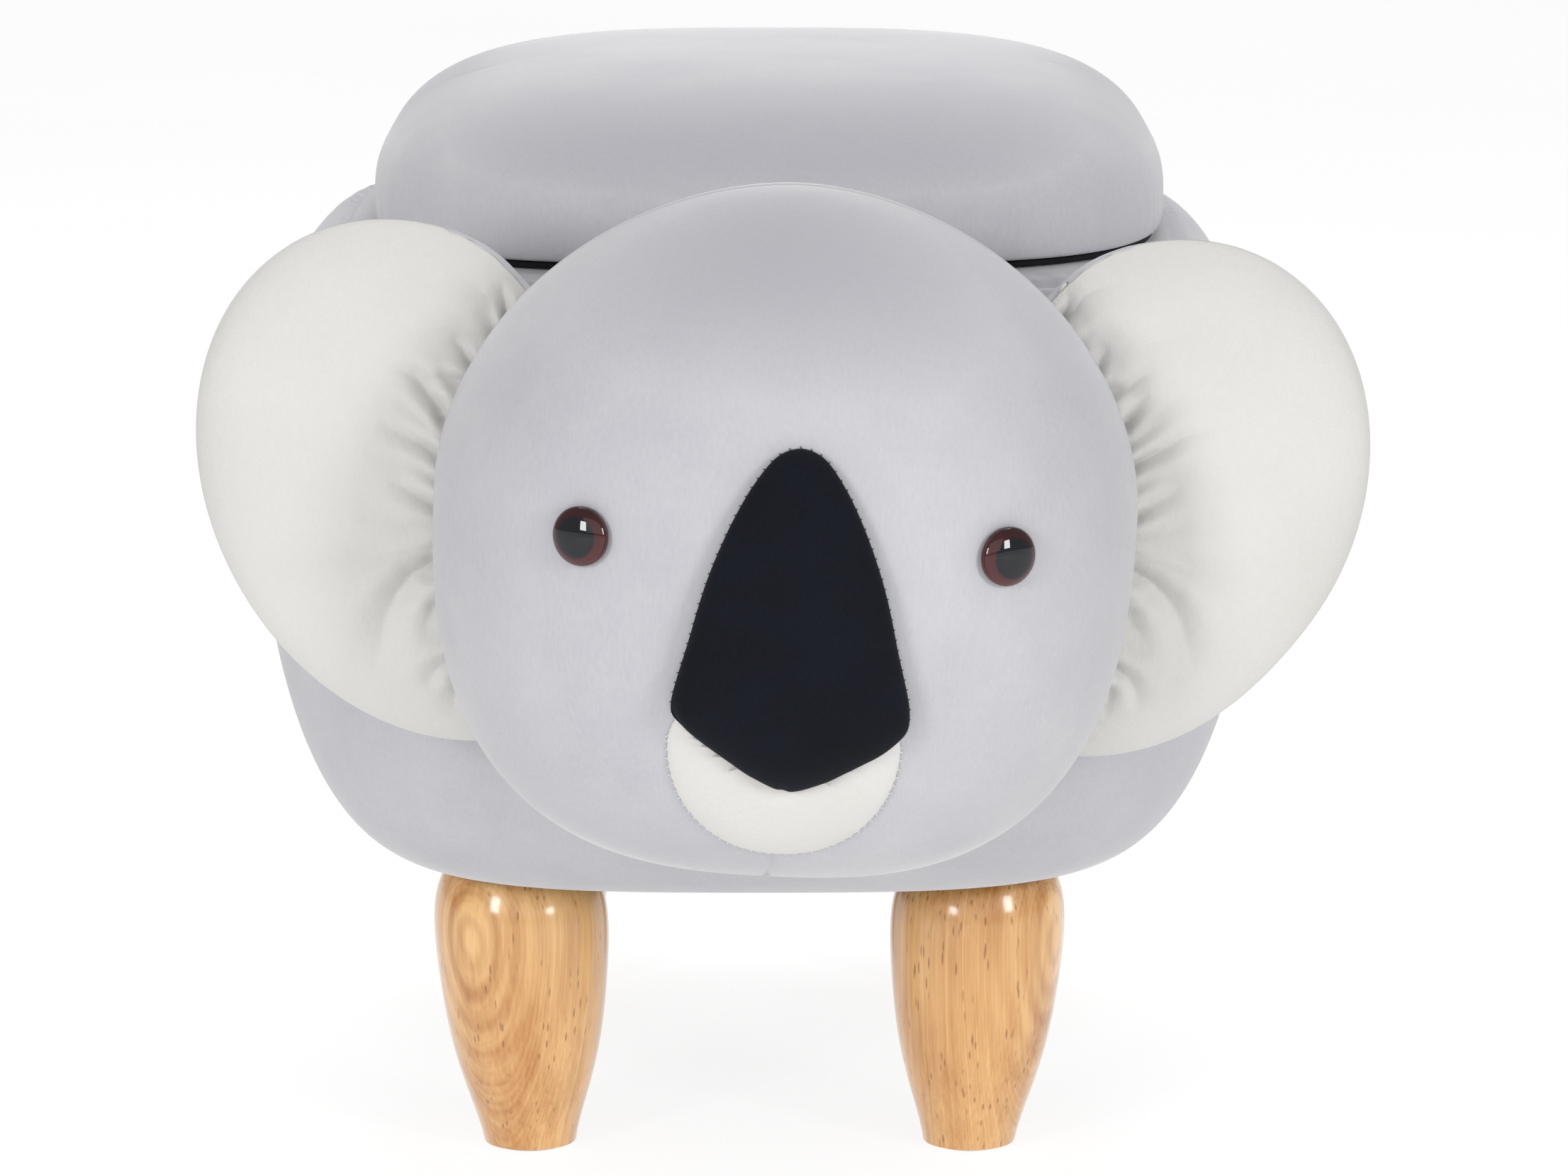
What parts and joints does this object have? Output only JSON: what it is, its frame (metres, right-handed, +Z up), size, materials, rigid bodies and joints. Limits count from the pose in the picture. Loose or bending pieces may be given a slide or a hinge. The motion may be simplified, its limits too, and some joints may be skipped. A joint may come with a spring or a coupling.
{
  "type": "animal footstool",
  "caption": "Padded storage footstool in the shape of a koala: stuffed head and ears on the front, lifting cushioned lid, turned wooden legs.",
  "frame": {"origin": "middle of the stool's footprint on the floor, between the foremost point of the nose and the back of the body", "axes": "+Z up, the head looks along -Y, +X is to the right of a viewer who faces the head"},
  "size_m": [0.3854, 0.5722, 0.3806],
  "materials": {
    "velvet": "matte",
    "plush": "matte",
    "nose_cloth": "matte",
    "black_cloth": "matte",
    "liner": "matte",
    "foam": "matte",
    "filling": "matte",
    "leg_wood": "gloss",
    "board": "matte",
    "steel": "satin",
    "nylon": "matte",
    "eye_colour": "gloss",
    "eye_lens": "polished"
  },
  "bodies": {
    "stool": {"body_cover": "velvet", "body_foam": "foam", "base_board": "board", "tub_wall": "board", "rim_board": "board", "storage_liner": "liner", "dust_cover": "black_cloth", "leg_front_left": "leg_wood", "leg_front_right": "leg_wood", "leg_rear_left": "leg_wood", "leg_rear_right": "leg_wood", "leg_glide_front_left": "nylon", "leg_glide_front_right": "nylon", "leg_glide_rear_left": "nylon", "leg_glide_rear_right": "nylon", "leg_bolt_front_left": "steel", "leg_bolt_front_right": "steel", "leg_bolt_rear_left": "steel", "leg_bolt_rear_right": "steel", "leg_tee_nut_front_left": "steel", "leg_tee_nut_front_right": "steel", "leg_tee_nut_rear_left": "steel", "leg_tee_nut_rear_right": "steel", "hinge_fixed_leaf_left": "steel", "hinge_fixed_leaf_right": "steel", "hinge_pin_left": "steel", "hinge_pin_right": "steel", "head_cover": "velvet", "head_filling": "filling", "nose_cover": "nose_cloth", "nose_filling": "filling", "muzzle_patch": "plush", "eye_back_left": "eye_colour", "eye_back_right": "eye_colour", "eye_lens_left": "eye_lens", "eye_lens_right": "eye_lens", "eye_washer_left": "nylon", "eye_washer_right": "nylon", "ear_front_panel_left": "plush", "ear_front_panel_right": "plush", "ear_back_panel_left": "velvet", "ear_back_panel_right": "velvet", "ear_filling_left": "filling", "ear_filling_right": "filling"},
    "lid": {"lid_cover": "velvet", "lid_foam": "foam", "lid_board": "board", "lid_lining": "black_cloth", "hinge_moving_leaf_left": "steel", "hinge_moving_leaf_right": "steel"}
  },
  "joints": [
    {"name": "lid_hinge", "type": "hinge", "parent": "stool", "child": "lid", "pos_m": [-0.00517, 0.24173, 0.32185], "axis": [-1, 0, 0], "range_deg": [0, 100]}
  ]
}
